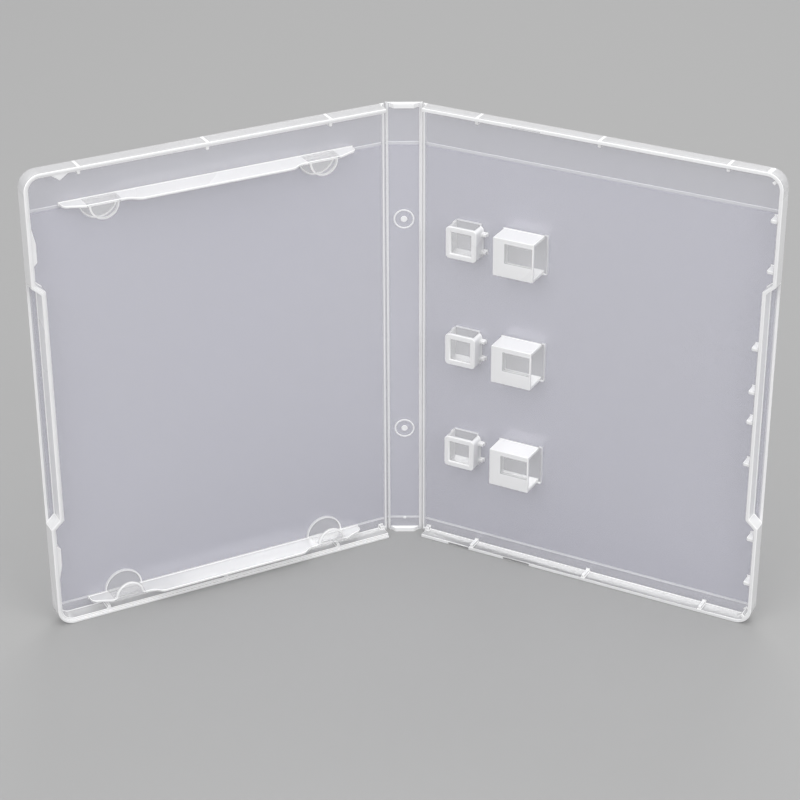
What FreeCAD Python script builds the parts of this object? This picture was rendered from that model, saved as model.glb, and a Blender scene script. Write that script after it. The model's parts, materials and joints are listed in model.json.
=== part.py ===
import FreeCAD, Part
import math
import os
import re

import Sketcher

# Hinged storage case for flash drives, moulded in one shot of clear polypropylene and standing half open.
# The two covers and the spine are drawn as they leave the mould: open flat, inner side up, with x across the
# case, y up the spine and z into the case. Each is then stood up and swung to its place about its hinge.

# Driving dimensions: millimetres, degrees and counts
SIZES = {
    # Overall case
    "case_height": 171.5,
    "cover_width": 134.0,
    "spine_width": 12.8,
    "panel": 1.0,
    "corner_radius": 6.0,
    "edge_round": 1.0,
    "front_swing": 27.3,
    "back_swing": 28.2,
    # Living hinges: a thin web that rolls about its own middle
    "hinge_web": 0.4,
    "hinge_play": 0.05,
    # Rims of the two covers
    "front_depth": 6.8,
    "front_wall": 1.8,
    "front_land": 1.0,
    "front_step": 0.7,
    "back_wall": 1.3,
    "seam_gap": 0.4,
    "inner_radius_least": 0.5,
    # Thumb recess in the free edge
    "recess_length": 86.0,
    "recess_depth": 3.3,
    "recess_slope": 3.0,
    # End lips of the spine
    "lip_depth": 2.6,
    "lip_thickness": 1.6,
    "lip_inset": 1.3,
    "lip_corner": 1.6,
    "lip_play": 0.2,
    # Gate marks on the spine
    "gate_radius": 3.6,
    "gate_ring": 0.4,
    "gate_rise": 0.2,
    "gate_dot": 1.1,
    "gate_spacing": 84.1,
    "foot_dot": 0.5,
    "foot_dot_height": 5.4,
    # Stiffening ribs inside the top and bottom rims
    "rib_thickness": 1.1,
    "rib_reach": 1.1,
    "rib_first": 23.7,
    "rib_last_inset": 19.3,
    "rib_count": 3,
    # Posts in the foot of both rims, where they start at the hinge
    "post_thickness": 1.4,
    "post_reach": 1.4,
    "post_rise": 2.6,
    # Wedge inside the top rim of the front cover
    "wedge_inset": 12.8,
    "wedge_length": 5.8,
    "wedge_reach": 2.1,
    # Booklet ledges and their half-round tongues on the front cover
    "ledge_inset": 13.4,
    "ledge_top": 14.6,
    "ledge_bottom": 5.6,
    "ledge_thickness": 0.9,
    "ledge_middle_depth": 9.6,
    "ledge_tab_depth": 7.2,
    "ledge_end_depth": 5.2,
    "ledge_end_round": 2.4,
    "ledge_sway": 6.0,
    "tongue_inset": 27.0,
    "tongue_radius": 5.3,
    "tongue_thickness": 0.9,
    "moon_radius": 6.5,
    # Snap bumps inside the free edge of the front cover
    "snap_spacing": 120.5,
    "snap_length": 13.5,
    "snap_lead": 5.5,
    "snap_reach": 1.2,
    # Upright ribs of the back cover stop just under its land
    "rib_drop": 0.2,
    # Gussets inside the free edge of the back cover, measured from mid height
    "gusset_thickness": 1.2,
    "gusset_reach": 2.5,
    "gusset_chamfer": 0.5,
    "gusset_inner": 5.7,
    "gusset_second": 22.0,
    "gusset_third": 51.0,
    "gusset_outer": 69.0,
    "corner_rib": 1.2,
    "corner_rib_reach": 1.5,
    # Drive holders on the back cover
    "holder_rows": 3,
    "holder_pitch": 41.7,
    "holder_middle": 82.0,
    # Plug socket of each holder
    "socket_start": 32.6,
    "socket_length": 15.4,
    "socket_height": 14.4,
    "socket_depth": 9.8,
    "socket_wall": 1.2,
    "socket_relief": 1.1,
    # Cap clip of each holder
    "clip_start": 12.6,
    "clip_length": 11.9,
    "clip_height": 12.0,
    "clip_depth": 6.5,
    "clip_wall": 1.3,
    "clip_relief": 0.4,
    "clip_frame": 1.8,
    "clip_frame_rise": 0.5,
    "clip_round": 1.4,
    "prong_length": 1.8,
    "prong_thickness": 1.2,
    "prong_rise": 1.5,
    "prong_spacing": 6.6,
    # Outer film sleeve
    "film_thickness": 0.15,
    "film_mouth": 15.0,
    "film_bottom": 4.8,
    "film_side": 1.6,
    "film_fold_gap": 0.4,
    # How far a cutting outline runs past the face it opens
    "overcut": 1.0,
}

# Sizes that follow from the driving ones
DERIVED = {
    "hinge_inset": "hinge_web / 2",
    "hinge_edge": "hinge_inset + hinge_play",
    "hinge_half": "spine_width / 2",
    "back_depth": "spine_width + hinge_web - front_depth - seam_gap",
    "middle": "case_height / 2",
    "wall_start": "lip_depth + lip_play",
    "recess_low": "middle - recess_length / 2",
    "recess_high": "middle + recess_length / 2",
    "recess_lean": "(sqrt(recess_depth ^ 2 + recess_slope ^ 2) - recess_slope) / recess_depth",
    "rib_pitch": "(cover_width - rib_last_inset - rib_first) / (rib_count - 1)",
    "rib_top": "back_depth - rib_drop",
    "ledge_high": "case_height - ledge_top",
    "tab_end": "tongue_inset + moon_radius + ledge_thickness",
    "socket_end": "socket_start + socket_length",
    "clip_end": "clip_start + clip_length",
    "first_row": "holder_middle - holder_pitch * (holder_rows - 1) / 2",
    "rows_length": "holder_pitch * (holder_rows - 1)",
    "film_high": "case_height - film_mouth",
    "diagonal": "sqrt(2) / 2",
}

FRONT, BACK = -1, 1
TOLERANCE = 1e-4

doc = FreeCAD.newDocument("storage_case")


def write_sheet():
    """Puts every driving dimension in a named cell of the sheet."""
    sheet = doc.addObject("Spreadsheet::Sheet", "sizes")
    for row, (name, size) in enumerate(SIZES.items(), start=1):
        sheet.set(f"A{row}", name)
        sheet.set(f"B{row}", str(size))
        sheet.setAlias(f"B{row}", name)
    doc.recompute()


def expand(text):
    """Turns the size names in a formula into cells of the sheet."""
    def swap(match):
        word = match.group(0)
        if word in SIZES:
            return f"sizes.{word}"
        if word in DERIVED:
            return f"({expand(DERIVED[word])})"
        return word
    return re.sub(r"[a-z_]+", swap, text)


def bind(feature, path, text):
    """Ties one property of a feature to a formula of named sizes."""
    feature.setExpression(path, expand(text))


def value(item, text):
    """Present number of a formula, for the first placing of sketch lines."""
    return float(item.evalExpression(expand(text)))


def new_body(label, turn="1", swing="0", hinge="0"):
    """A body stood upright: hinge is the distance of its hinge axis from mid spine, on the side of turn.

    The axis lies hinge_inset inside the outer face, and the row's origin is the middle of the spine's foot.
    """
    body = doc.addObject("PartDesign::Body", label)
    body.Label = label
    across = f"{turn} * ({hinge} + hinge_inset * sin({swing}))"
    back = f"lip_depth / 2 + hinge_inset * (cos({swing}) - 1)"
    upright = "rotation(vector(1; 0; 0); 90)"
    swung = f"rotation(vector(0; 0; 1); -{turn} * {swing})"
    bind(body, "Placement", f"placement(vector({across}; {back}; 0); {swung} * {upright})")
    return body


def origin_feature(body, role):
    """One of the body's own origin planes or axes."""
    return next(item for item in body.Origin.OriginFeatures if item.Role == role)


def new_sketch(body, name, plane="XY_Plane", height="0"):
    """Sketch on an origin plane of the body, moved along the plane's normal by height."""
    sketch = body.newObject("Sketcher::SketchObject", name)
    sketch.AttachmentSupport = [(origin_feature(body, plane), "")]
    sketch.MapMode = "FlatFace"
    bind(sketch, "AttachmentOffset.Base.z", height)
    return sketch


def arc_centre(start, stop, axis, place):
    """Centre of the arc between two points whose centre lies at place along one axis."""
    middle = (start + stop) * 0.5
    chord = stop - start
    if axis == "x":
        return FreeCAD.Vector(place, middle.y - (place - middle.x) * chord.x / chord.y, 0)
    return FreeCAD.Vector(middle.x - (place - middle.y) * chord.y / chord.x, place, 0)


def arc_between(start, stop, centre, turn):
    """Arc from start to stop about centre, anticlockwise for turn 1 and clockwise for turn -1."""
    first, last = (start, stop) if turn > 0 else (stop, start)
    angles = [math.atan2(point.y - centre.y, point.x - centre.x) for point in (first, last)]
    if angles[1] < angles[0]:
        angles[1] += 2 * math.pi
    circle = Part.Circle(centre, FreeCAD.Vector(0, 0, 1), (start - centre).Length)
    return Part.ArcOfCircle(circle, *angles)


def draw(sketch, outline):
    """Draws one closed outline and holds each corner by the sheet.

    A corner is (x, y) where a line follows it, or (x, y, axis, place, turn) where an arc does, whose centre
    lies at place along axis.
    """
    points = [FreeCAD.Vector(value(sketch, corner[0]), value(sketch, corner[1]), 0) for corner in outline]
    pieces = []
    for index, corner in enumerate(outline):
        start, stop = points[index], points[(index + 1) % len(points)]
        if len(corner) == 2:
            pieces.append((sketch.addGeometry(Part.LineSegment(start, stop)), 1, 2))
            continue
        axis, place, turn = corner[2:]
        centre = arc_centre(start, stop, axis, value(sketch, place))
        number = sketch.addGeometry(arc_between(start, stop, centre, turn))
        pieces.append((number, 1, 2) if turn > 0 else (number, 2, 1))
    joins, holds = [], []
    for index, (number, start, stop) in enumerate(pieces):
        following = pieces[(index + 1) % len(pieces)]
        joins.append(Sketcher.Constraint("Coincident", number, stop, following[0], following[1]))
        corner, point = outline[index], points[index]
        holds.append((Sketcher.Constraint("DistanceX", -1, 1, number, start, point.x), corner[0]))
        holds.append((Sketcher.Constraint("DistanceY", -1, 1, number, start, point.y), corner[1]))
        if len(corner) > 2:
            kind = "DistanceX" if corner[2] == "x" else "DistanceY"
            place = value(sketch, corner[3])
            holds.append((Sketcher.Constraint(kind, -1, 1, number, 3, place), corner[3]))
    sketch.addConstraint(joins)
    held = sketch.addConstraint([constraint for constraint, _ in holds])
    for number, (_, text) in zip(held, holds):
        bind(sketch, f"Constraints[{number}]", text)


def draw_circle(sketch, x, y, radius):
    """Draws one circle held by the sheet."""
    centre = FreeCAD.Vector(value(sketch, x), value(sketch, y), 0)
    circle = Part.Circle(centre, FreeCAD.Vector(0, 0, 1), value(sketch, radius))
    number = sketch.addGeometry(circle)
    holds = (("DistanceX", x, centre.x), ("DistanceY", y, centre.y))
    for kind, text, place in holds:
        held = sketch.addConstraint(Sketcher.Constraint(kind, -1, 1, number, 3, place))
        bind(sketch, f"Constraints[{held}]", text)
    held = sketch.addConstraint(Sketcher.Constraint("Radius", number, circle.Radius))
    bind(sketch, f"Constraints[{held}]", radius)


def rectangle(left, low, right, high):
    """Outline of a rectangle between two corners."""
    return [(left, low), (right, low), (right, high), (left, high)]


def extrude(body, kind, sketch, name, length, reverse=False):
    """Pads or pockets a sketch by a named length."""
    feature = body.newObject(f"PartDesign::{kind}", name)
    feature.Profile = sketch
    bind(feature, "Length", length)
    feature.Reversed = reverse
    return feature


def repeat(body, name, features, axis, length, count, reverse=False):
    """Repeats features along an axis of the body: count copies spread over length."""
    pattern = body.newObject("PartDesign::LinearPattern", name)
    pattern.Originals = features
    pattern.Direction = (origin_feature(body, axis), [""])
    bind(pattern, "Length", length)
    bind(pattern, "Occurrences", count)
    pattern.Reversed = reverse
    body.Tip = pattern


def round_edges(body, name, radius, wanted):
    """Rounds the edges of the body so far that the test picks out."""
    doc.recompute()
    base = body.Tip
    edges = [f"Edge{index}" for index, edge in enumerate(base.Shape.Edges, start=1) if wanted(edge)]
    fillet = body.newObject("PartDesign::Fillet", name)
    fillet.Base = (base, edges)
    bind(fillet, "Radius", radius)
    return fillet


def mirrored(side):
    """Writes distances from the hinge as x on one side of the case."""
    return lambda text: f"{side} * ({text})"


def rim_outline(side, wall):
    """Inner outline of a cover's rim: open at the hinge and stepped in behind the thumb recess."""
    x = mirrored(side)
    inside = f"cover_width - {wall}"
    behind = f"{inside} - recess_depth"
    radius = f"max(corner_radius - {wall}; inner_radius_least)"
    lean = f"{wall} * recess_lean"
    past = "-overcut"
    return [
        (x(past), wall),
        (x(f"{inside} - {radius}"), wall, "x", x(f"{inside} - {radius}"), side),
        (x(inside), f"{wall} + {radius}"),
        (x(inside), f"recess_low - recess_slope - {lean}"),
        (x(behind), f"recess_low - {lean}"),
        (x(behind), f"recess_high + {lean}"),
        (x(inside), f"recess_high + recess_slope + {lean}"),
        (x(inside), f"case_height - {wall} - {radius}", "x", x(f"{inside} - {radius}"), side),
        (x(f"{inside} - {radius}"), f"case_height - {wall}"),
        (x(past), f"case_height - {wall}"),
    ]


def make_tray(body, side, depth, wall):
    """Panel and rim of one cover, with its thumb recess and its mitred hinge edge."""
    x = mirrored(side)
    corner = "cover_width - corner_radius"
    block = new_sketch(body, "tray_outline")
    draw(block, [
        (x("0"), "0"),
        (x(corner), "0", "x", x(corner), side),
        (x("cover_width"), "corner_radius"),
        (x("cover_width"), "case_height - corner_radius", "x", x(corner), side),
        (x(corner), "case_height"),
        (x("0"), "case_height"),
    ])
    extrude(body, "Pad", block, "tray", depth)
    round_edges(body, "outer_edge", "edge_round", is_outer_edge)

    hollow = new_sketch(body, "hollow_outline", height="panel")
    draw(hollow, rim_outline(side, wall))
    extrude(body, "Pocket", hollow, "hollow", depth, reverse=True)

    recess = new_sketch(body, "recess_outline", height="panel")
    draw(recess, [
        (x("cover_width + overcut"), "recess_low - recess_slope"),
        (x("cover_width"), "recess_low - recess_slope"),
        (x("cover_width - recess_depth"), "recess_low"),
        (x("cover_width - recess_depth"), "recess_high"),
        (x("cover_width"), "recess_high + recess_slope"),
        (x("cover_width + overcut"), "recess_high + recess_slope"),
    ])
    extrude(body, "Pocket", recess, "recess", depth, reverse=True)

    hinge = new_sketch(body, "hinge_edge_profile", "XZ_Plane")
    draw(hinge, [
        (x("-overcut"), "-overcut"),
        (x("hinge_edge"), "-overcut"),
        (x("hinge_edge"), "hinge_inset"),
        (x("wall_start"), "hinge_inset + wall_start - hinge_edge"),
        (x("wall_start"), f"{depth} + overcut"),
        (x("-overcut"), f"{depth} + overcut"),
    ])
    extrude(body, "Pocket", hinge, "hinge_mitre", "case_height")

    post = new_sketch(body, "post_outline", height="panel / 2")
    draw(post, rectangle(x("wall_start"), f"{wall} / 2",
                         x("wall_start + post_thickness"), f"{wall} + post_reach"))
    extrude(body, "Pad", post, "post", "post_rise - panel / 2")


def is_outer_edge(edge):
    """True for the edges round the outside of a cover, apart from the one at the hinge."""
    box = edge.BoundBox
    at_hinge = max(abs(box.XMin), abs(box.XMax)) < TOLERANCE
    return box.ZMax < TOLERANCE and not at_hinge


def add_ribs(body, side, wall, top):
    """Upright ribs inside the top and bottom rims."""
    x = mirrored(side)
    sketch = new_sketch(body, "rib_outline", height="panel")
    left, right = (x(f"rib_first {sign} rib_thickness / 2") for sign in "-+")
    inside = f"{wall} / 2"
    draw(sketch, rectangle(left, inside, right, f"{wall} + rib_reach"))
    draw(sketch, rectangle(left, f"case_height - {wall} - rib_reach", right, f"case_height - {inside}"))
    rib = extrude(body, "Pad", sketch, "rib", f"{top} - panel")
    repeat(body, "ribs", [rib], "X_Axis", "rib_pitch * (rib_count - 1)", "rib_count", reverse=side < 0)


def ledge_outline(side):
    """Plan of a booklet ledge: round ends, flat where the tongues stand and swelling to the middle."""
    x = mirrored(side)
    near, far = "ledge_inset", "cover_width - ledge_inset"
    bulge_near, bulge_far = "tab_end + ledge_sway", "cover_width - tab_end - ledge_sway"
    turn = "(ledge_tab_depth + ledge_middle_depth) / 2"
    end = "ledge_end_round"
    foot = "panel / 2"
    return [
        (x(near), foot),
        (x(far), foot),
        (x(far), f"ledge_end_depth - {end}", "x", x(f"{far} - {end}"), side),
        (x(f"{far} - {end}"), "ledge_end_depth"),
        (x("cover_width - tongue_inset + moon_radius"), "ledge_tab_depth"),
        (x("cover_width - tab_end"), "ledge_tab_depth", "x", x("cover_width - tab_end"), -side),
        (x("cover_width - tab_end - ledge_sway / 2"), turn, "x", x(bulge_far), side),
        (x(bulge_far), "ledge_middle_depth"),
        (x(bulge_near), "ledge_middle_depth", "x", x(bulge_near), side),
        (x("tab_end + ledge_sway / 2"), turn, "x", x("tab_end"), -side),
        (x("tab_end"), "ledge_tab_depth"),
        (x("tongue_inset - moon_radius"), "ledge_tab_depth"),
        (x(f"{near} + {end}"), "ledge_end_depth", "x", x(f"{near} + {end}"), side),
        (x(near), f"ledge_end_depth - {end}"),
    ]


def half_round(side, inset, radius, base, up):
    """Half-round edge on a base line, from its first corner to its last: up is 1 or -1."""
    x = mirrored(side)
    first, last = (x(f"{inset} {sign} {up * side} * {radius}") for sign in "+-")
    return [(first, base, "y", base, 1), (last, base)]


def add_booklet_holders(body):
    """Two ledges with half-round tongues, and the holes that the mould leaves behind the tongues."""
    upper = ("ledge_high", "ledge_high + ledge_thickness", -1)
    lower = ("ledge_bottom", "ledge_bottom - ledge_thickness", 1)
    insets = ("tongue_inset", "cover_width - tongue_inset")
    for name, low in (("lower", lower[1]), ("upper", upper[0])):
        plan = new_sketch(body, f"{name}_ledge_plan", "XZ_Plane", f"-({low})")
        draw(plan, ledge_outline(FRONT))
        extrude(body, "Pad", plan, f"{name}_ledge", "ledge_thickness", reverse=True)
    tongues = new_sketch(body, "tongue_outline", height="ledge_tab_depth - tongue_thickness")
    moons = new_sketch(body, "moon_outline")
    for base, foot, up in (upper, lower):
        for inset in insets:
            tongue = half_round(FRONT, inset, "tongue_radius", base, up)
            root = [(tongue[1][0], foot), (tongue[0][0], foot)]
            draw(tongues, tongue + root)
            draw(moons, half_round(FRONT, inset, "moon_radius", base, up))
    extrude(body, "Pad", tongues, "tongues", "tongue_thickness")
    extrude(body, "Pocket", moons, "moons", "panel", reverse=True)


def add_snaps(body):
    """Long snap bumps inside the free edge, each with a gentle lead towards the corner."""
    x = mirrored(FRONT)
    sketch = new_sketch(body, "snap_outline", height="panel")
    face, crest = "cover_width - front_wall", "cover_width - front_wall - snap_reach"
    for way in "-+":
        other = "+" if way == "-" else "-"
        centre = f"middle {way} snap_spacing / 2"
        corner_end, middle_end = f"{centre} {way} snap_length / 2", f"{centre} {other} snap_length / 2"
        outline = [
            (x("cover_width - front_land"), corner_end),
            (x(face), corner_end),
            (x(crest), f"{corner_end} {other} snap_lead"),
            (x(crest), f"{middle_end} {way} snap_reach"),
            (x(face), middle_end),
            (x("cover_width - front_land"), middle_end),
        ]
        draw(sketch, outline)
    extrude(body, "Pad", sketch, "snaps", "front_depth - front_step - panel")


def add_wedge(body):
    """Three-cornered wedge inside the top rim, near the free corner."""
    x = mirrored(FRONT)
    centre, face = "cover_width - wedge_inset", "case_height - front_wall"
    sketch = new_sketch(body, "wedge_outline", height="panel / 2")
    left, right = (x(f"{centre} {sign} wedge_length / 2") for sign in "-+")
    draw(sketch, [
        (left, face),
        (x(centre), f"{face} - wedge_reach"),
        (right, face),
        (right, "case_height - front_land"),
        (left, "case_height - front_land"),
    ])
    extrude(body, "Pad", sketch, "wedge", "front_depth - front_step - panel / 2")


def add_gussets(body):
    """Upright gussets inside the free edge: four on the rim and four behind the thumb recess."""
    x = mirrored(BACK)
    rim, behind = "cover_width - back_wall", "cover_width - recess_depth - back_wall"
    faces = {"gusset_inner": behind, "gusset_second": behind, "gusset_third": rim, "gusset_outer": rim}
    for place, face in faces.items():
        for way in "-+":
            name = f"{place}_{'low' if way == '-' else 'high'}"
            sketch = new_sketch(body, f"{name}_profile", "XZ_Plane",
                                f"-(middle {way} {place} - gusset_thickness / 2)")
            draw(sketch, [
                (x(f"{face} - gusset_reach"), "panel / 2"),
                (x(f"{face} + back_wall / 2"), "panel / 2"),
                (x(f"{face} + back_wall / 2"), "rib_top"),
                (x(f"{face} - gusset_reach + gusset_chamfer"), "rib_top"),
                (x(f"{face} - gusset_reach"), "rib_top - gusset_chamfer"),
            ])
            extrude(body, "Pad", sketch, name, "gusset_thickness", reverse=True)


def add_corner_ribs(body):
    """Diagonal ribs in the two free corners."""
    x = mirrored(BACK)
    sketch = new_sketch(body, "corner_rib_outline", height="panel / 2")
    near, far = "corner_radius - back_wall - corner_rib_reach", "corner_radius - back_wall / 2"
    ends = ((near, "+", "-"), (near, "-", "+"), (far, "-", "+"), (far, "+", "-"))
    for way, centre in (("-", "corner_radius"), ("+", "case_height - corner_radius")):
        draw(sketch, [
            (x(f"cover_width - corner_radius + diagonal * ({reach} {across} corner_rib / 2)"),
             f"{centre} {way} diagonal * ({reach} {along} corner_rib / 2)")
            for reach, across, along in ends
        ])
    extrude(body, "Pad", sketch, "corner_ribs", "rib_top - panel / 2")


def add_holders(body):
    """Rows of plug sockets and cap clips, hollow from the back through the panel."""
    x = mirrored(BACK)
    socket_low, socket_high = (f"first_row {sign} socket_height / 2" for sign in "-+")
    clip_low, clip_high = (f"first_row {sign} clip_height / 2" for sign in "-+")

    blocks = new_sketch(body, "socket_outline", height="panel / 2")
    draw(blocks, rectangle(x("socket_start"), socket_low, x("socket_end"), socket_high))
    socket = extrude(body, "Pad", blocks, "socket", "socket_depth - panel / 2")

    core = new_sketch(body, "socket_core_outline")
    draw(core, rectangle(x("socket_start + socket_wall"), f"{socket_low} + socket_wall",
                         x("socket_end + socket_relief"), f"{socket_high} - socket_wall"))
    socket_core = extrude(body, "Pocket", core, "socket_core", "socket_depth - socket_wall", reverse=True)

    relief = new_sketch(body, "socket_relief_outline")
    draw(relief, rectangle(x("socket_end"), socket_low, x("socket_end + socket_relief"), socket_high))
    socket_relief = extrude(body, "Pocket", relief, "socket_mouth", "panel", reverse=True)

    blocks = new_sketch(body, "clip_outline", height="panel / 2")
    left, right, edge = x("clip_start"), x("clip_end"), "clip_round"
    draw(blocks, [
        (x(f"clip_start + {edge}"), clip_low),
        (x(f"clip_end - {edge}"), clip_low, "x", x(f"clip_end - {edge}"), 1),
        (right, f"{clip_low} + {edge}"),
        (right, f"{clip_high} - {edge}", "x", x(f"clip_end - {edge}"), 1),
        (x(f"clip_end - {edge}"), clip_high),
        (x(f"clip_start + {edge}"), clip_high, "x", x(f"clip_start + {edge}"), 1),
        (left, f"{clip_high} - {edge}"),
        (left, f"{clip_low} + {edge}", "x", x(f"clip_start + {edge}"), 1),
    ])
    clip = extrude(body, "Pad", blocks, "clip", "clip_depth - panel / 2")

    core = new_sketch(body, "clip_core_outline")
    draw(core, rectangle(x("clip_start + clip_wall"), f"{clip_low} + clip_wall",
                         x("clip_end - clip_wall"), f"{clip_high} + clip_relief"))
    clip_core = extrude(body, "Pocket", core, "clip_core", "clip_depth - clip_wall", reverse=True)

    window = new_sketch(body, "clip_window_outline", height="clip_depth - clip_frame_rise")
    draw(window, rectangle(x("clip_start + clip_frame"), f"{clip_low} + clip_frame",
                           x("clip_end - clip_frame"), f"{clip_high} - clip_frame"))
    clip_window = extrude(body, "Pocket", window, "clip_window", "clip_depth", reverse=True)

    bars = new_sketch(body, "prong_outline", height="panel / 2")
    for way in "-+":
        centre = f"first_row {way} prong_spacing / 2"
        draw(bars, rectangle(x("clip_end - clip_wall / 2"), f"{centre} - prong_thickness / 2",
                             x("clip_end + prong_length"), f"{centre} + prong_thickness / 2"))
    prongs = extrude(body, "Pad", bars, "prongs", "panel / 2 + prong_rise")

    features = [socket, socket_core, socket_relief, clip, clip_core, clip_window, prongs]
    repeat(body, "holders", features, "Y_Axis", "rows_length", "holder_rows")


def make_front_cover():
    """Cover with the stepped rim and the booklet holders."""
    body = new_body("front_cover", FRONT, "front_swing", "hinge_half")
    make_tray(body, FRONT, "front_depth", "front_wall")
    step = new_sketch(body, "step_outline", height="front_depth - front_step")
    draw(step, rim_outline(FRONT, "front_land"))
    extrude(body, "Pocket", step, "rim_step", "front_depth", reverse=True)
    add_booklet_holders(body)
    add_snaps(body)
    add_wedge(body)
    add_ribs(body, FRONT, "front_wall", "front_depth - front_step")
    return body


def make_back_cover():
    """Cover with the drive holders and the gusseted free edge."""
    body = new_body("back_cover", BACK, "back_swing", "hinge_half")
    make_tray(body, BACK, "back_depth", "back_wall")
    add_gussets(body)
    add_corner_ribs(body)
    add_ribs(body, BACK, "back_wall", "rib_top")
    add_holders(body)
    return body


def make_spine():
    """Narrow plate that ends in the two hinge webs, with a lip at its top and its foot."""
    body = new_body("spine")
    bevel = "hinge_half - hinge_edge - panel + hinge_web"
    web = "hinge_half - hinge_edge"
    profile = new_sketch(body, "spine_profile", "XZ_Plane")
    draw(profile, [
        ("-hinge_half", "0"),
        ("hinge_half", "0", "x", "hinge_half", 1),
        ("hinge_half", "hinge_web"),
        (web, "hinge_web"),
        (bevel, "panel"),
        (f"-({bevel})", "panel"),
        (f"-({web})", "hinge_web"),
        ("-hinge_half", "hinge_web", "x", "-hinge_half", 1),
    ])
    extrude(body, "Pad", profile, "plate", "case_height", reverse=True)
    side = "hinge_half - lip_inset"
    front = f"{side} - lip_corner"
    for name, low in (("foot", "0"), ("top", "case_height - lip_thickness")):
        lip = new_sketch(body, f"{name}_lip_plan", "XZ_Plane", f"-({low})")
        draw(lip, [
            (f"-({side})", "panel / 2"),
            (side, "panel / 2"),
            (side, "lip_depth - lip_corner"),
            (front, "lip_depth"),
            (f"-({front})", "lip_depth"),
            (f"-({side})", "lip_depth - lip_corner"),
        ])
        extrude(body, "Pad", lip, f"{name}_lip", "lip_thickness", reverse=True)
    rings = new_sketch(body, "gate_outline", height="panel / 2")
    for way in "-+":
        place = f"middle {way} gate_spacing / 2"
        draw_circle(rings, "0", place, "gate_radius")
        draw_circle(rings, "0", place, "gate_radius - gate_ring")
    extrude(body, "Pad", rings, "gate_rings", "panel / 2 + gate_rise")
    dots = new_sketch(body, "gate_dot_outline", height="panel / 2")
    for way in "-+":
        draw_circle(dots, "0", f"middle {way} gate_spacing / 2", "gate_dot")
    draw_circle(dots, "0", "foot_dot_height", "foot_dot")
    extrude(body, "Pad", dots, "gate_dots", "panel / 2 + gate_rise")
    return body


def add_film(body, label, turn, near, far):
    """One stretch of the clear sleeve, lying on the outside between two distances from the hinge."""
    x = mirrored(turn)
    sketch = new_sketch(body, f"{label}_outline")
    draw(sketch, rectangle(x(near), "film_bottom", x(far), "film_high"))
    extrude(body, "Pad", sketch, f"{label}_sheet", "film_thickness", reverse=True)
    return body


def make_cover_film(label, turn, swing):
    """Stretch of the sleeve behind one cover."""
    body = new_body(label, turn, swing, "hinge_half")
    return add_film(body, label, turn, "film_fold_gap", "cover_width - film_side")


def make_spine_film():
    """Stretch of the sleeve behind the spine."""
    edge = "hinge_half - film_fold_gap"
    return add_film(new_body("sleeve_spine"), "sleeve_spine", BACK, f"-({edge})", edge)


def check_and_write(bodies):
    """Stops on any failed feature or faulty solid, then writes one file for each sub-part."""
    failed = [item.Name for item in doc.Objects if {"Invalid", "Error"} & set(item.State)]
    if failed:
        raise RuntimeError(f"failed features: {failed}")
    os.makedirs("parts", exist_ok=True)
    for body in bodies:
        shape = body.Shape
        if shape.isNull() or not shape.isValid() or len(shape.Solids) != 1:
            raise RuntimeError(f"faulty solid: {body.Label}")
        print(f"{body.Label}: {shape.Volume:.1f} mm3")
        shape.exportStep(f"parts/{body.Label}.step")


write_sheet()
case = [
    make_front_cover(),
    make_spine(),
    make_back_cover(),
    make_cover_film("sleeve_front", FRONT, "front_swing"),
    make_spine_film(),
    make_cover_film("sleeve_back", BACK, "back_swing"),
]
doc.recompute()
check_and_write(case)
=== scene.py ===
# %% [markdown]
# A clear storage case, standing half open
#
# The real case is one moulding of natural polypropylene: two covers and a narrow spine, joined by thin webs
# that bend. A clear film is welded round the outside. The solids arrive finished from CAD, so this lesson
# is mostly about looks: how to make thin, milky plastic read as plastic, and how to let a film follow a
# hinge.

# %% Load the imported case
import bmesh
import bpy
import json
import math
from collections import namedtuple
from mathutils import Matrix, Vector


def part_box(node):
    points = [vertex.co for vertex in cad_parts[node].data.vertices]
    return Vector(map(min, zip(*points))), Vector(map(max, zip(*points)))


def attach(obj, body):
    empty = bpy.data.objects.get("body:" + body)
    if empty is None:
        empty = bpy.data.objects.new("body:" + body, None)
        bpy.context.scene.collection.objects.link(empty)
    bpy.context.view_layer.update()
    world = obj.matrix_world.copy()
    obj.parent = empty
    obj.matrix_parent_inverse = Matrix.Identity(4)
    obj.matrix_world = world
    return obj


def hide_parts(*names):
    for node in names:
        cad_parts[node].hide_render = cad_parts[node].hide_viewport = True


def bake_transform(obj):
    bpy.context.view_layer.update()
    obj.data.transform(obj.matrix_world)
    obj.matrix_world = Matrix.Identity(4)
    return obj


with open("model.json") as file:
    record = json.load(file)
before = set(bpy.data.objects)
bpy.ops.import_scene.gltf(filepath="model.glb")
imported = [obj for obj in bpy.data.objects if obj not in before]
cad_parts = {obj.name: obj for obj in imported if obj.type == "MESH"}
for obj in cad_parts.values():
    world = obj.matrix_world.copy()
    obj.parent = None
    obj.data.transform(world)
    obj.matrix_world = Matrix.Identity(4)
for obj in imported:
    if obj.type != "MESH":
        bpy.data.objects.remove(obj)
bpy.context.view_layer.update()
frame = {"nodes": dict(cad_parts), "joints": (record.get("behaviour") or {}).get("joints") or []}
MM = 0.001
print("nodes:", ", ".join(sorted(frame["nodes"])))

# %% [markdown]
# Where each leaf lies
#
# A leaf is a cover or the spine. Its walls are easiest to describe in its own directions: across from the
# hinge, and inwards from its outer face. They could be typed in as vectors, but then they would be wrong as
# soon as the case was packed half closed. The joints already say where each hinge is and how far the cover
# has swung from flat, so both directions are worked out from them.

# %% Directions of the three leaves
Leaf = namedtuple("Leaf", "body hinge across inward side swing")
joints = {joint["child"]: joint for joint in frame["joints"]}
spine_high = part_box("spine")[1]
film_low, film_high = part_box("sleeve_spine")


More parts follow.
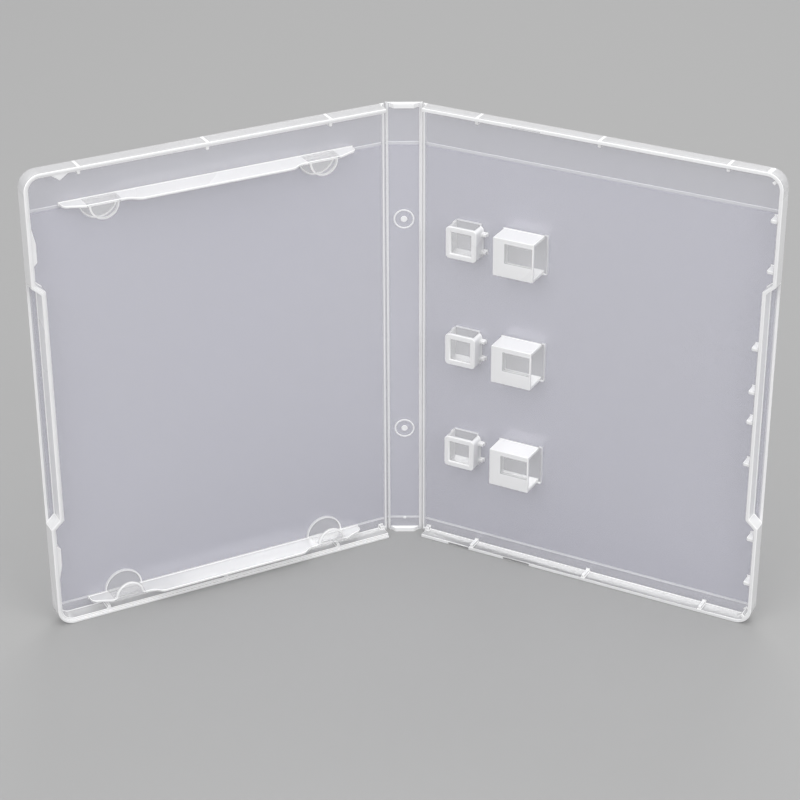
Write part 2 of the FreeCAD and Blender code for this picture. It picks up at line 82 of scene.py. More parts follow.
def leaf_of(body):
    """Leaf that swings on one joint; the lower limit of that joint is the case lying open flat."""
    joint = joints[body]
    hinge = Vector(joint["pos_m"])
    side = math.copysign(1, hinge.x)
    swing = math.radians(-joint["range_deg"][0])
    across = Vector((side * math.cos(swing), -math.sin(swing), 0))
    inward = Vector((-side * math.sin(swing), -math.cos(swing), 0))
    return Leaf(body, hinge, across, inward, side, swing)


front, back = leaf_of("front"), leaf_of("back")
spine = Leaf("spine", Vector((0, front.hinge.y, 0)), Vector((1, 0, 0)), Vector((0, -1, 0)), 1, 0)
hinge_inset = spine_high.y - front.hinge.y
case_top = spine_high.z
for leaf in (front, back):
    print(leaf.body, "leaf swung", round(math.degrees(leaf.swing), 1), "degrees")

# %% [markdown]
# Writing node maths as sums
#
# A material is a tree of nodes, and drawing a tree by hand in code soon hides the idea behind it. This
# small class wraps one output of a tree. Adding, taking away or multiplying two of them adds the Math node
# that does it, so a finish can be read as a formula. Every other node goes through the one method called
# node. Geometry Nodes use the same Math nodes as shaders, so the class serves both.

# %% A socket that can be added and multiplied
MIX_SHARE, MIX_FIRST, MIX_SECOND, MIX_COLOUR = 0, 6, 7, 2


class Signal:
    """One output of a node tree; sums with it add Math nodes to that tree."""

    def __init__(self, tree, socket=None):
        self.tree = tree
        self.socket = socket

    def node(self, kind, settings=None, inputs=None, out=0):
        """Adds one node: its settings first, then the values or links of its inputs. Gives one output."""
        made = self.tree.nodes.new(kind)
        for name, value in (settings or {}).items():
            setattr(made, name, value)
        for name, value in (inputs or {}).items():
            if isinstance(value, Signal):
                self.tree.links.new(value.socket, made.inputs[name])
            else:
                made.inputs[name].default_value = value
        return Signal(self.tree, made.outputs[out] if made.outputs else None)

    def maths(self, operation, first, second=0.0):
        return self.node("ShaderNodeMath", {"operation": operation}, {0: first, 1: second})

    def __add__(self, other):
        return self.maths("ADD", self, other)

    def __radd__(self, other):
        return self.maths("ADD", other, self)

    def __sub__(self, other):
        return self.maths("SUBTRACT", self, other)

    def __rsub__(self, other):
        return self.maths("SUBTRACT", other, self)

    def __mul__(self, other):
        return self.maths("MULTIPLY", self, other)

    def __rmul__(self, other):
        return self.maths("MULTIPLY", other, self)

    def __truediv__(self, other):
        return self.maths("DIVIDE", self, other)

    def __rtruediv__(self, other):
        return self.maths("DIVIDE", other, self)

    def __abs__(self):
        return self.maths("ABSOLUTE", self)

    def larger(self, other):
        return self.maths("MAXIMUM", self, other)

    def smaller(self, other):
        return self.maths("MINIMUM", self, other)

    def dot(self, other):
        """Length of this vector along another one."""
        settings = {"operation": "DOT_PRODUCT"}
        return self.node("ShaderNodeVectorMath", settings, {0: self, 1: other}, "Value")

    def ramp(self, start, stop, low=0.0, high=1.0):
        """Smooth rise from low to high as this value goes from start to stop."""
        settings = {"interpolation_type": "SMOOTHSTEP"}
        inputs = {"Value": self, "From Min": start, "From Max": stop, "To Min": low, "To Max": high}
        return self.node("ShaderNodeMapRange", settings, inputs)

    def between(self, start, stop, soft):
        """1 where this value lies between start and stop, fading to 0 over a soft distance outside."""
        return self.ramp(start - soft, start) - self.ramp(stop, stop + soft)

    def blend(self, first, second):
        """Colour that goes from first to second as this value goes from 0 to 1."""
        inputs = {MIX_SHARE: self, MIX_FIRST: first, MIX_SECOND: second}
        return self.node("ShaderNodeMix", {"data_type": "RGBA"}, inputs, MIX_COLOUR)


print("node helper ready")

# %% Opening and closing a finish
def new_finish(name):
    """Empty material with its tree ready to be filled."""
    finish = bpy.data.materials.new(name)
    finish.use_nodes = True
    finish.node_tree.nodes.clear()
    return finish, Signal(finish.node_tree)


def close_finish(tree, shader):
    """Connects a shader to the surface of its material."""
    tree.node("ShaderNodeOutputMaterial", inputs={"Surface": shader})


print("finish helpers ready")

# %% [markdown]
# Milky polypropylene
#
# Natural polypropylene is neither glass nor white. A thin panel seen face on scatters only a little light,
# so what lies behind it shows through a grey haze. A wall seen along its length holds more plastic and
# looks whiter, and so does every edge. Real scattering could be rendered as a volume, but that is slow and
# is lost on export. Here the haze is the Alpha of the surface: low on faces that lie along the panel, and
# higher on faces that stand up from it, on the raised lands of the rims and along the free edge.

# %% How milky each kind of face is
HAZE_PANEL = 0.22
HAZE_CLEAR = 0.10
HAZE_TONGUE = 0.30
HAZE_RIM = 0.40
# Ledge haze rises from foot to top: painted light that makes the upper ledge whiter, as it renders darker.
HAZE_LEDGE_LOW, HAZE_LEDGE_HIGH_PAINTED_LIGHT = 0.46, 0.80
HAZE_WALL = 0.88
HAZE_LAND = 0.88
PANEL_TINT = (0.66, 0.66, 0.77, 1)
WALL_TINT = (0.93, 0.93, 0.94, 1)
PLASTIC_INDEX = 1.49
PANEL_WALL = 1.0 * MM
SOFT = 0.1 * MM
DRIFT_SCALE, DRIFT_DETAIL = 14.0, 1.0
GRAIN_SCALE, GRAIN_STRENGTH, GRAIN_DEPTH = 900.0, 0.05, 0.05 * MM


def leaf_places(tree, leaf):
    """Distances across, inwards and up on one leaf."""
    place = tree.node("ShaderNodeTexCoord", out="Object")
    across = place.dot(leaf.across) - leaf.hinge.dot(leaf.across)
    inward = place.dot(leaf.inward) - (leaf.hinge.dot(leaf.inward) - hinge_inset)
    return place, across, inward, place.dot((0, 0, 1))


def plastic_skin(tree, place):
    """Slow drift of the haze, and the fine grain that the mould leaves in the surface."""
    drift = tree.node("ShaderNodeTexNoise",
                      inputs={"Vector": place, "Scale": DRIFT_SCALE, "Detail": DRIFT_DETAIL})
    grain = tree.node("ShaderNodeTexNoise", inputs={"Vector": place, "Scale": GRAIN_SCALE, "Detail": 0.0})
    skin = tree.node("ShaderNodeBump",
                     inputs={"Strength": GRAIN_STRENGTH, "Distance": GRAIN_DEPTH, "Height": grain})
    return drift, skin


print("panel haze", HAZE_PANEL, "and land haze", HAZE_LAND)

# %% [markdown]
# Gloss over haze
#
# Alpha takes the gloss away together with the haze, and then a clear panel looks like smoke. A smooth
# plastic face still mirrors its surroundings, however clear it is, and more so at a glancing angle. So a
# Glossy shader is laid over the milky one, with a Layer Weight as its share. Three kinds of line stay white
# on clear faces: the free edge, the lines that belong to one leaf alone, and the lines along the mouth and
# the foot of the film. These film lines are painted on the panel's outer face: partly the film's own white
# weld, and partly painted light, since the weld itself renders darker, lit only through the panel.

# %% Finish of one leaf
GLOSS_BLEND, GLOSS_ROUGHNESS = 0.12, 0.1
GLOW_START, GLOW_END = 1.5 * MM, 0.8 * MM
# Width of the film's weld line painted on the panel, painted brighter than the weld renders: painted light.
FILM_LINE = 0.7 * MM
STANDING_START, STANDING_END = 0.03, 0.25
HAZE_LEAST, HAZE_DRIFT = 0.8, 0.4
DRIFT_LOW, DRIFT_HIGH = 0.2, 0.8
SMOOTHEST, ROUGHEST = 0.22, 0.34


def glossy(tree, body, skin):
    """Lays a clear gloss over a shader."""
    share = tree.node("ShaderNodeLayerWeight", inputs={"Blend": GLOSS_BLEND, "Normal": skin}, out="Facing")
    mirror = tree.node("ShaderNodeBsdfGlossy", inputs={"Roughness": GLOSS_ROUGHNESS, "Normal": skin})
    return tree.node("ShaderNodeMixShader", inputs={0: share, 1: body, 2: mirror})


def film_weld_painted_light(inward, up):
    """1 on the outer face along the mouth and the foot of the film: its white weld, painted brighter as
    painted light.
    """
    middle, half = (film_high.z + film_low.z) / 2, (film_high.z - film_low.z) / 2
    return abs(up - middle).between(half - FILM_LINE, half, SOFT) * (1 - inward.ramp(SOFT, 2 * SOFT))


def clear_plastic(name, leaf, width, haze):
    """Milky plastic of one leaf; haze gives the haze of its walls and lands, and where white lines run."""
    finish, tree = new_finish(name)
    place, across, inward, up = leaf_places(tree, leaf)
    drift, skin = plastic_skin(tree, place)
    face = tree.node("ShaderNodeTexCoord", out="Normal")
    standing = (1 - abs(face.dot(leaf.inward))).ramp(STANDING_START, STANDING_END)
    raised = inward.ramp(PANEL_WALL + SOFT / 2, PANEL_WALL + SOFT)
    glow = across.ramp(width - GLOW_START, width - GLOW_END)
    wall, land, lines = haze(across, inward, up)
    # The film's weld line is painted white here: partly the weld's own white, partly painted light.
    bright = glow.larger(lines).larger(film_weld_painted_light(inward, up))
    lying = HAZE_PANEL * (HAZE_LEAST + HAZE_DRIFT * drift)
    lying = (lying + raised * (land - lying)).larger(bright * HAZE_WALL)
    alpha = lying + standing * (wall - lying)
    white = standing.larger(raised).larger(bright)
    body = tree.node("ShaderNodeBsdfPrincipled", inputs={
        "Base Color": white.blend(PANEL_TINT, WALL_TINT), "Alpha": alpha,
        "Roughness": drift.ramp(DRIFT_LOW, DRIFT_HIGH, SMOOTHEST, ROUGHEST),
        "Normal": skin, "IOR": PLASTIC_INDEX})
    close_finish(tree, glossy(tree, body, skin))
    return finish


print("gloss blend", GLOSS_BLEND)

# %% [markdown]
# Towards the top they are painted milkier still: painted light that lifts the upper ledge, which renders
# darker.
# Clear windows between white walls
#
# Not every wall is equally milky. The long rims are clear enough to show each rib as a white streak. The
# walls of the drive holders look white, also end on, but the front of a socket is a thin window over a
# hollow, and so is the front of a clip inside its frame. Each socket window is lifted a little, so that a
# white band is painted below it: painted light for the socket's inner floor, which renders in shade. On the
# front leaf the booklet ledges are milky.
# Their half-round tongues are clear inside a white line, and clear plastic glows round the holes behind
# them. Each hinge web is a clear groove between two white lines. All of these are at known distances on
# their leaf, so a few soft masks tell them apart. A Ping-Pong node folds a distance, and one mask then
# serves every rib or every row of holders.

# %% Rims and ribs
RIB_FIRST, RIB_PITCH, RIB_HALF = 23.7 * MM, 45.5 * MM, 0.5 * MM
RIM_REACH = 3.0 * MM
HINGE_FLANK = 2.6 * MM
HINGE_LINE_START, HINGE_LINE_END = 1.0 * MM, 1.5 * MM
WEB_DEPTH = 0.45 * MM
FREE_START, FREE_END = 124.0 * MM, 126.0 * MM
CORNER_START, CORNER_END = 3.0 * MM, 9.0 * MM


def end_distance(up):
    """Distance from the nearer one of top and foot."""
    return case_top / 2 - abs(up - case_top / 2)


def above_web(inward):
    """1 on what stands above the thin webs of the hinges."""
    return inward.ramp(WEB_DEPTH, WEB_DEPTH + SOFT)


def hinge_line(across):
    """1 on the strip of a cover that borders its hinge."""
    return across.between(HINGE_LINE_START, HINGE_LINE_END, SOFT)


def rim_haze(across, inward, up):
    """Haze of a rim's walls, whiter over each rib, at the hinge and at the free edge."""
    ribs = across.maths("PINGPONG", across - RIB_FIRST, RIB_PITCH / 2)
    ends = 1 - end_distance(up).ramp(RIM_REACH, RIM_REACH + SOFT)
    streak = (1 - ribs.ramp(RIB_HALF, RIB_HALF + SOFT)) * ends
    flank = (1 - across.ramp(HINGE_FLANK, HINGE_FLANK + SOFT)) * above_web(inward)
    free = across.ramp(FREE_START, FREE_END) * end_distance(up).ramp(CORNER_START, CORNER_END)
    return HAZE_RIM + (HAZE_WALL - HAZE_RIM) * streak.larger(flank).larger(free)


def spine_haze(across, inward, up):
    """White walls above clear webs."""
    return HAZE_RIM + (HAZE_WALL - HAZE_RIM) * above_web(inward), HAZE_LAND, 0


print("a rib every", RIB_PITCH / MM, "mm")

# %% Ledges and tongues
LEDGE_START, LEDGE_END = 3.5 * MM, 121.0 * MM
LEDGE_LOW, LEDGE_HIGH = 5.6 * MM, 156.9 * MM
COVER_MIDDLE, TONGUE_OFFSET, TONGUE_REACH = 67.0 * MM, 40.0 * MM, 6.0 * MM
RING_START, RING_END = 4.7 * MM, 7.0 * MM


def front_haze(across, inward, up):
    """Milky ledges with clear tongues, ringed in white."""
    rim = rim_haze(across, inward, up)
    ledges = end_distance(up).ramp(LEDGE_START, LEDGE_START + SOFT)
    ledges = ledges * (1 - across.ramp(LEDGE_END, LEDGE_END + SOFT))
    offset = abs(abs(across - COVER_MIDDLE) - TONGUE_OFFSET)
    tongues = ledges * (1 - offset.ramp(TONGUE_REACH, TONGUE_REACH + SOFT))
    rise = abs(up - LEDGE_LOW).smaller(abs(up - LEDGE_HIGH))
    radius = up.maths("SQRT", offset * offset + rise * rise)
    rings = radius.between(RING_START, RING_END, SOFT) * up.between(LEDGE_LOW, LEDGE_HIGH, SOFT)
    # Whiter towards the top: painted light that lifts the upper ledge, which renders darker than the lower
    # one.
    milk = up.ramp(LEDGE_LOW, LEDGE_HIGH, HAZE_LEDGE_LOW, HAZE_LEDGE_HIGH_PAINTED_LIGHT)
    ledge = milk - (milk - HAZE_TONGUE) * tongues
    land = HAZE_LAND - (HAZE_LAND - HAZE_CLEAR) * tongues
    return rim + ledges * (ledge - rim), land, rings.larger(hinge_line(across))


print("tongues ringed from", RING_START / MM, "mm")

# %% Drive holders
HOLDERS_START, HOLDERS_END = 12.0 * MM, 50.0 * MM
ROW_FIRST, ROW_PITCH = 40.3 * MM, 41.7 * MM
SOCKET_START, SOCKET_END = 37.4 * MM, 47.6 * MM
# Each socket window is lifted, so that a white band is painted below it: painted light for the socket's
# inner floor, which renders in shade.
WINDOW_LIFT_FOR_PAINTED_LIGHT, SOCKET_HALF = 1.8 * MM, 3.3 * MM
CLIP_START, CLIP_END, CLIP_HALF = 14.4 * MM, 22.7 * MM, 4.2 * MM
WINDOW_DEPTH, WINDOW_SOFT = 5.0 * MM, 0.6 * MM


def back_haze(across, inward, up):
    """White holders with clear windows."""
    rim = rim_haze(across, inward, up)
    holders = across.between(HOLDERS_START, HOLDERS_END, SOFT)
    holders = holders * end_distance(up).ramp(RIM_REACH, RIM_REACH + SOFT)
    # The window is lifted over a band painted white: painted light for the shaded inner floor of the socket.
    sockets = up.maths("PINGPONG", up - (ROW_FIRST + WINDOW_LIFT_FOR_PAINTED_LIGHT), ROW_PITCH / 2)
    socket = across.ramp(SOCKET_START - WINDOW_SOFT, SOCKET_START)
    socket = socket - across.ramp(SOCKET_END, SOCKET_END + SOFT)
    socket = socket * (1 - sockets.ramp(SOCKET_HALF, SOCKET_HALF + WINDOW_SOFT))
    clips = up.maths("PINGPONG", up - ROW_FIRST, ROW_PITCH / 2)
    clip = across.between(CLIP_START, CLIP_END, SOFT) * (1 - clips.ramp(CLIP_HALF, CLIP_HALF + SOFT))
    windows = (socket + clip) * inward.ramp(WINDOW_DEPTH, WINDOW_DEPTH + SOFT)
    land = HAZE_LAND - (HAZE_LAND - HAZE_CLEAR) * windows
    return rim + holders * (HAZE_WALL - rim), land, hinge_line(across)


print("window haze", HAZE_CLEAR)

# %% [markdown]
# Edges that gather light
#
# Light that travels inside clear plastic leaves it at the edges, so every edge of the case is drawn in
# white. A finish of its own is the simplest way to get that on any edge, whatever way it runs.

# %% Edge finish
EDGE_GREY = (0.90, 0.90, 0.91, 1)
EDGE_WHITE = (0.97, 0.97, 0.97, 1)
EDGE_HAZE_LOW, EDGE_HAZE_HIGH = 0.86, 0.96
EDGE_ROUGHNESS = 0.3


def bright_edge(name):
    """Nearly white plastic."""
    finish, tree = new_finish(name)
    drift, skin = plastic_skin(tree, tree.node("ShaderNodeTexCoord", out="Object"))
    close_finish(tree, tree.node("ShaderNodeBsdfPrincipled", inputs={
        "Base Color": drift.blend(EDGE_GREY, EDGE_WHITE),
        "Alpha": drift.ramp(DRIFT_LOW, DRIFT_HIGH, EDGE_HAZE_LOW, EDGE_HAZE_HIGH),
        "Roughness": EDGE_ROUGHNESS, "Normal": skin, "IOR": PLASTIC_INDEX}))
    return finish


edge_finish = bright_edge("bright_edge")
print("edge finish", edge_finish.name)

# %% [markdown]
# Rounding the edges
#
# No moulded edge is perfectly sharp. A CAD node's triangles must not be touched, so a copy is merged into
# clean faces, and the Bevel modifier rounds its sharp edges by a fraction of a millimetre. The modifier can
# give the new strips a material of their own, which is how each edge comes to glow. The width of each strip
# is set by a weight on its edge, because the thin hinge webs and the low gate marks have no room for the
# full round. Large flat faces stay flat shaded: smooth shading would bend the light across them. The outer
# face of the copy is drawn in by a hair, because two clear faces in one plane, here panel and film, give
# stray lines in a render.

# %% Merged copies
MERGE_DISTANCE = 0.001 * MM
EDGE_ROUND = 0.24 * MM
FILM_SEAT = 0.03 * MM
FINE_SHARE = 0.3
SHARP = math.radians(35)
FLAT = math.radians(0.5)
HINGE_REACH = 1.2 * MM
CURVED_AREA = 60 * MM * MM


def merged_copy(node, leaf):
    """Merged copy of a CAD node with its flat faces joined up and its curved ones smooth."""
    work = bmesh.new()
    work.from_mesh(frame["nodes"][node].data)
    bmesh.ops.remove_doubles(work, verts=work.verts, dist=MERGE_DISTANCE)
    bmesh.ops.dissolve_limit(work, angle_limit=FLAT, verts=work.verts, edges=work.edges)
    for face in work.faces:
        shallow = any(edge.is_manifold and FLAT < edge.calc_face_angle() < SHARP for edge in face.edges)
        face.smooth = shallow and face.calc_area() < CURVED_AREA
    for vertex in work.verts:
        depth = (vertex.co - leaf.hinge).dot(leaf.inward) + hinge_inset
        vertex.co += leaf.inward * max(FILM_SEAT - depth, 0)
    return work


def weigh_edges(work, leaf):
    """Marks sharp edges for rounding: finely on the spine and the hinges, not at all at a hinge's ends."""
    weight = work.edges.layers.float.new("bevel_weight_edge")
    for edge in work.edges:
        if not edge.is_manifold or edge.calc_face_angle() < SHARP:
            continue
        middle = (edge.verts[0].co + edge.verts[1].co) / 2
        at_hinge = abs((middle - leaf.hinge).dot(leaf.across)) < HINGE_REACH
        at_end = case_top / 2 - abs(middle.z - case_top / 2) < HINGE_REACH
        if leaf is not spine and at_hinge and at_end:
            continue
        edge[weight] = FINE_SHARE if leaf is spine or at_hinge else 1.0


print("edges rounded by", EDGE_ROUND / MM, "mm")

# %% Rounded copies of the three leaves
EDGE_SEGMENTS = 2
EDGE_SLOT = 1


def apply_modifiers(piece):
    """Turns what the modifiers of a piece make into its plain mesh."""
    evaluated = piece.evaluated_get(bpy.context.evaluated_depsgraph_get())
    mesh = bpy.data.meshes.new_from_object(evaluated)
    mesh.name = piece.name
    piece.modifiers.clear()
    piece.data = mesh


def new_piece(name, mesh):
    """Object at the origin that holds a mesh."""
    piece = bpy.data.objects.new(name, mesh)
    bpy.context.scene.collection.objects.link(piece)
    return piece


def merge_points(mesh):
    """Merges points that the rounding left in one place, and so takes away faces without area."""
    work = bmesh.new()
    work.from_mesh(mesh)
    bmesh.ops.remove_doubles(work, verts=work.verts, dist=MERGE_DISTANCE)
    work.to_mesh(mesh)
    work.free()


def moulding(node, leaf, finish):
    """Rounded copy of one leaf that stands for its CAD node."""
    work = merged_copy(node, leaf)
    weigh_edges(work, leaf)
    mesh = bpy.data.meshes.new(f"{node}_moulding")
    work.to_mesh(mesh)
    work.free()
    if "custom_normal" in mesh.attributes:
        mesh.attributes.remove(mesh.attributes["custom_normal"])
    mesh.materials.clear()
    mesh.materials.append(finish)
    mesh.materials.append(edge_finish)
    piece = new_piece(mesh.name, mesh)
    bevel = piece.modifiers.new("edge_round", "BEVEL")
    bevel.limit_method = "WEIGHT"
    bevel.width = EDGE_ROUND
    bevel.segments = EDGE_SEGMENTS
    bevel.material = EDGE_SLOT
    bevel.use_clamp_overlap = False
    apply_modifiers(piece)
    merge_points(piece.data)
    for strip in piece.data.polygons:
        strip.use_smooth = strip.use_smooth or strip.material_index == EDGE_SLOT
    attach(piece, leaf.body)
    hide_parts(node)
    return piece


for leaf, node, haze in ((front, "front_cover", front_haze), (spine, "spine", spine_haze),
                         (back, "back_cover", back_haze)):
    reach = max((vertex.co - leaf.hinge).dot(leaf.across) for vertex in frame["nodes"][node].data.vertices)
    piece = moulding(node, leaf, clear_plastic(f"clear_plastic_{leaf.body}", leaf, reach, haze))
    print(piece.name, len(piece.data.polygons), "faces, reaches", round(reach / MM, 1), "mm")

# %% [markdown]
# The outer film
#
# The sleeve is thinner and clearer than the moulding. What shows of it is its gloss, a faint extra haze
# over the panel, and a bright line where its mouth was cut.

# %% Film finish
FILM_HAZE = 0.18
FILM_EDGE = 0.9
FILM_TINT = (0.75, 0.75, 0.84, 1)
FILM_ROUGHNESS = 0.12
CUT_WIDTH = 0.8 * MM
RIPPLE_SCALE, RIPPLE_STRENGTH, RIPPLE_DEPTH = 24.0, 0.15, 1.0 * MM


def clear_film(name):
    """Thin clear film with a bright cut edge at its mouth and slow ripples."""
    finish, tree = new_finish(name)
    place = tree.node("ShaderNodeTexCoord", out="Object")
    cut = place.dot((0, 0, 1)).ramp(film_high.z - 2 * CUT_WIDTH, film_high.z - CUT_WIDTH)
    ripple = tree.node("ShaderNodeTexNoise", inputs={"Vector": place, "Scale": RIPPLE_SCALE, "Detail": 0.0})
    wave = tree.node("ShaderNodeBump",
                     inputs={"Strength": RIPPLE_STRENGTH, "Distance": RIPPLE_DEPTH, "Height": ripple})
    close_finish(tree, tree.node("ShaderNodeBsdfPrincipled", inputs={
        "Base Color": cut.blend(FILM_TINT, WALL_TINT), "Alpha": FILM_HAZE + cut * (FILM_EDGE - FILM_HAZE),
        "Roughness": FILM_ROUGHNESS, "Normal": wave, "IOR": PLASTIC_INDEX}))
    return finish


film = clear_film("clear_film")
for node in ("sleeve_front", "sleeve_spine", "sleeve_back"):
    frame["nodes"][node].data.materials.clear()
    frame["nodes"][node].data.materials.append(film)
print("film is", round((film_high.z - film_low.z) / MM, 1), "mm high")

# %% [markdown]
# Trees that make geometry
#
# Two small pieces of the film follow a path: the fold at each hinge, and the bead along its edges. Both
# could be modelled vertex by vertex. A Geometry Nodes tree says the same as a rule, with named sizes that
# can be changed later, and serves every leaf. The helpers below open a tree, close it, and turn its result
# into a mesh.

# %% Opening, closing and running a tree
def new_tree(name, sizes):
    """Empty tree with a number for each size and a finish; gives the tree and its inputs by name."""
    group = bpy.data.node_groups.new(name, "GeometryNodeTree")
    group.interface.new_socket("Path", in_out="INPUT", socket_type="NodeSocketGeometry")
    for size in sizes:
        group.interface.new_socket(size, in_out="INPUT", socket_type="NodeSocketFloat")
    group.interface.new_socket("Finish", in_out="INPUT", socket_type="NodeSocketMaterial")
    group.interface.new_socket("Piece", in_out="OUTPUT", socket_type="NodeSocketGeometry")
    entry = group.nodes.new("NodeGroupInput")
    return Signal(group), {socket.name: Signal(group, socket) for socket in entry.outputs if socket.name}


def close_tree(tree, inputs, shape):
    """Ends a tree in plain geometry with its finish."""
    plain = tree.node("GeometryNodeRealizeInstances", inputs={"Geometry": shape})
    done = tree.node("GeometryNodeSetMaterial", inputs={"Geometry": plain, "Material": inputs["Finish"]})
    tree.node("NodeGroupOutput", inputs={"Piece": done})


def run_tree(name, tree, path, values):
    """Piece that a tree makes from a path and its values, as a plain mesh."""
    piece = new_piece(name, path)
    nodes = piece.modifiers.new(name, "NODES")
    nodes.node_group = tree.tree
    for item in tree.tree.interface.items_tree:
        if item.in_out == "INPUT" and item.name in values:
            nodes[item.identifier] = values[item.name]
    apply_modifiers(piece)
    return piece


print("tree helpers ready")

# %% [markdown]
# The fold of the film at each hinge
#
# The film is one sheet, so it runs round the hinge in a small arc. The tree bends a straight line: before
# the arc it lies along the spine, then it turns about the hinge axis, and after that it lies along the
# cover. A rectangle swept along the line gives the sheet its thickness. The fold belongs to both leaves, so
# it is built in place, bent to the angle at which its cover stands.

# %% Folds
FOLD_STEPS = 13
FOLD_REACH = 0.4 * MM
FILM_THICKNESS = 0.15 * MM


def fold_tree():
    """Sheet bent about an upright axis."""
    tree, size = new_tree("film_fold", ("Radius", "Bend", "Reach", "Low", "Height", "Thickness", "Side",
                                        "Hinge X", "Hinge Y"))
    line = tree.node("GeometryNodeCurvePrimitiveLine", inputs={"End": (1, 0, 0)})
    line = tree.node("GeometryNodeResampleCurve", inputs={"Curve": line, "Count": FOLD_STEPS})
    arc = size["Radius"] * size["Bend"]
    along = tree.node("GeometryNodeInputPosition").dot((1, 0, 0)) * (arc + 2 * size["Reach"]) - size["Reach"]
    turned = along.larger(0).smaller(arc)
    angle, straight = turned / size["Radius"], along - turned
    sine, cosine = tree.maths("SINE", angle), tree.maths("COSINE", angle)
    middle = size["Radius"] + size["Thickness"] / 2
    place = tree.node("ShaderNodeCombineXYZ", inputs={
        "X": size["Hinge X"] + size["Side"] * (middle * sine + straight * cosine),
        "Y": size["Hinge Y"] + middle * cosine - straight * sine,
        "Z": size["Low"] + size["Height"] / 2})
    bent = tree.node("GeometryNodeSetPosition", inputs={"Geometry": line, "Position": place})
    bent = tree.node("GeometryNodeSetCurveNormal", {"mode": "Z_UP"}, {"Curve": bent})
    section = tree.node("GeometryNodeCurvePrimitiveQuadrilateral",
                        inputs={"Width": size["Thickness"], "Height": size["Height"]})
    sheet = tree.node("GeometryNodeCurveToMesh",
                      inputs={"Curve": bent, "Profile Curve": section, "Fill Caps": True})
    close_tree(tree, size, sheet)
    return tree


fold = fold_tree()
for leaf in (front, back):
    piece = run_tree(f"film_fold_{leaf.body}", fold, bpy.data.meshes.new(f"film_fold_{leaf.body}"), {
        "Radius": hinge_inset, "Bend": leaf.swing, "Reach": FOLD_REACH, "Low": film_low.z,
        "Height": film_high.z - film_low.z, "Thickness": FILM_THICKNESS, "Side": leaf.side,
        "Hinge X": leaf.hinge.x, "Hinge Y": leaf.hinge.y, "Finish": film})
    foot = leaf.hinge.copy()
    foot - spine.inward * hinge_inset
    foot - leaf.inward * hinge_inset
    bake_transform(piece)
    print(piece.name, len(piece.data.polygons), "faces")

# %% [markdown]
# The weld of the film
#
# The film is welded along its foot and its free sides. Its mouth stays open, but the hot cut leaves a bead
# there too, so a thin white bead runs along every edge. A bead is a circle swept along a path, so each leaf
# gets a path of straight runs, and the tree eases its corners and sweeps it.

# %% Weld beads
WELD_RADIUS = 0.3 * MM
WELD_CORNER = 1.5 * MM
WELD_SIDES = 8
CORNER_STEPS = 6


def weld_tree():
    """Round bead along a path with eased corners."""
    tree, size = new_tree("film_weld", ("Radius", "Corner"))
    path = tree.node("GeometryNodeMeshToCurve", inputs={"Mesh": size["Path"]})
    path = tree.node("GeometryNodeFilletCurve", {"mode": "POLY"},
                     {"Curve": path, "Count": CORNER_STEPS, "Radius": size["Corner"]})
    section = tree.node("GeometryNodeCurvePrimitiveCircle",
                        inputs={"Resolution": WELD_SIDES, "Radius": size["Radius"]})
    bead = tree.node("GeometryNodeCurveToMesh",
                     inputs={"Curve": path, "Profile Curve": section, "Fill Caps": True})
    close_tree(tree, size, bead)
    return tree


def weld_path(leaf, runs):
    """Path over the outer face of the film; each run lists its corners as distances across and up."""
    mesh = bpy.data.meshes.new(f"film_weld_{leaf.body}")
    face = Vector((leaf.hinge.x, leaf.hinge.y, 0)) - leaf.inward * (hinge_inset + FILM_THICKNESS)
    points, edges = [], []
    for run in runs:
        edges += [(len(points) + index, len(points) + index + 1) for index in range(len(run) - 1)]
        points += [face + leaf.across * across + Vector((0, 0, up)) for across, up in run]
    mesh.from_pydata(points, edges, [])
    return mesh


weld = weld_tree()
for leaf in (front, spine, back):
    node = frame["nodes"][f"sleeve_{leaf.body}"]
    reaches = [(vertex.co - leaf.hinge).dot(leaf.across) for vertex in node.data.vertices]
    near, far = min(reaches), max(reaches)
    foot = [(near, film_low.z), (far, film_low.z)]
    mouth = [(far, film_high.z), (near, film_high.z)]
    runs = [foot, mouth] if leaf is spine else [foot + mouth]
    piece = run_tree(f"film_weld_{leaf.body}", weld, weld_path(leaf, runs),
                     {"Radius": WELD_RADIUS, "Corner": WELD_CORNER, "Finish": edge_finish})
    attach(piece, leaf.body)
    print(piece.name, len(piece.data.polygons), "faces")

# %% [markdown]
# Floor, light and camera
#
# A clear thing shows what is behind it, so the floor is a plain pale grey: light enough for soft shadows,
# and a little darker than the white rims, which then still stand out.

# %% Floor
FLOOR_TINT = (0.36, 0.36, 0.36, 1)
FLOOR_ROUGHNESS = 0.8
FLOOR_HALF = 6.0


def plain_floor():
    """Large flat floor under the case."""
    mesh = bpy.data.meshes.new("floor")
    corners = [(x, y, 0) for x, y in ((-1, -1), (1, -1), (1, 1), (-1, 1))]
    mesh.from_pydata([Vector(corner) * FLOOR_HALF for corner in corners], [], [(0, 1, 2, 3)])
    floor = new_piece("floor", mesh)
    finish, tree = new_finish("pale_floor")
    close_finish(tree, tree.node("ShaderNodeBsdfPrincipled", inputs={
        "Base Color": FLOOR_TINT, "Roughness": FLOOR_ROUGHNESS}))
    mesh.materials.append(finish)
    return floor


print("floor", plain_floor().dimensions.x, "m wide")

# %% Soft light
MIDDLE_OF_CASE = Vector((0, -0.03, 0.08))
SKY_TINT, SKY_STRENGTH = (1, 1, 1, 1), 0.6


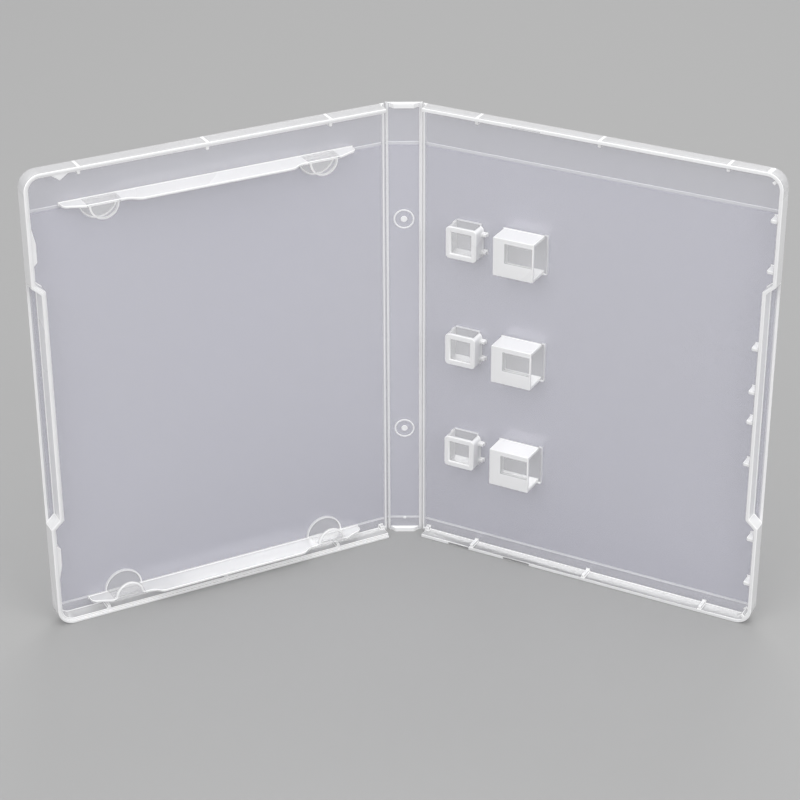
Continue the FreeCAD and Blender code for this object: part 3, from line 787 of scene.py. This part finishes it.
def soft_lamp(name, place, size, power):
    """Large square lamp that points at the middle of the case."""
    light = bpy.data.lights.new(name, "AREA")
    light.size = size
    light.energy = power
    lamp = bpy.data.objects.new(name, light)
    lamp.location = place
    lamp.rotation_euler = (MIDDLE_OF_CASE - Vector(place)).to_track_quat("-Z", "Y").to_euler()
    bpy.context.scene.collection.objects.link(lamp)
    return lamp


world = bpy.data.worlds.new("studio")
bpy.context.scene.world = world
world.use_nodes = True
world.node_tree.nodes["Background"].inputs["Color"].default_value = SKY_TINT
world.node_tree.nodes["Background"].inputs["Strength"].default_value = SKY_STRENGTH
lamps = [
    soft_lamp("key", (-0.9, -1.3, 1.1), 1.2, 10),
    soft_lamp("fill", (1.1, -1.2, 0.9), 1.2, 10),
    soft_lamp("top_light", (0, -0.3, 1.6), 1.4, 10),
    soft_lamp("back_light", (0.2, 1.3, 1.3), 1.0, 8),
]
print("lamps:", ", ".join(lamp.name for lamp in lamps))

# %% Camera at the photograph's angle
IMAGE_SIDE = 800
FOCAL_PIXELS = 2365.3
CAMERA_PLACE = Vector((-1.647, -770.56, 460.687)) * MM
LOOK_DOWN = math.radians(27.733)
ROLL = math.radians(-0.211)
SENSOR = 36.0

camera_data = bpy.data.cameras.new("camera")
camera_data.sensor_fit = "HORIZONTAL"
camera_data.sensor_width = SENSOR
camera_data.lens = FOCAL_PIXELS / IMAGE_SIDE * SENSOR
camera = bpy.data.objects.new("camera", camera_data)
bpy.context.scene.collection.objects.link(camera)
turn = Matrix.Rotation(math.pi / 2 - LOOK_DOWN, 4, "X") @ Matrix.Rotation(ROLL, 4, "Z")
camera.matrix_world = Matrix.Translation(CAMERA_PLACE) @ turn
bpy.context.scene.camera = camera
print("lens", round(camera_data.lens, 1), "mm")

# %% Colours as written, and enough depth for clear layers
CLEAR_LAYERS = 20
ALL_BOUNCES, DIFFUSE_BOUNCES, GLOSSY_BOUNCES = 6, 3, 3
scene = bpy.context.scene
scene.view_settings.view_transform = "Standard"
scene.cycles.transparent_max_bounces = CLEAR_LAYERS
scene.cycles.max_bounces = ALL_BOUNCES
scene.cycles.diffuse_bounces = DIFFUSE_BOUNCES
scene.cycles.glossy_bounces = GLOSSY_BOUNCES
print("up to", CLEAR_LAYERS, "clear layers")
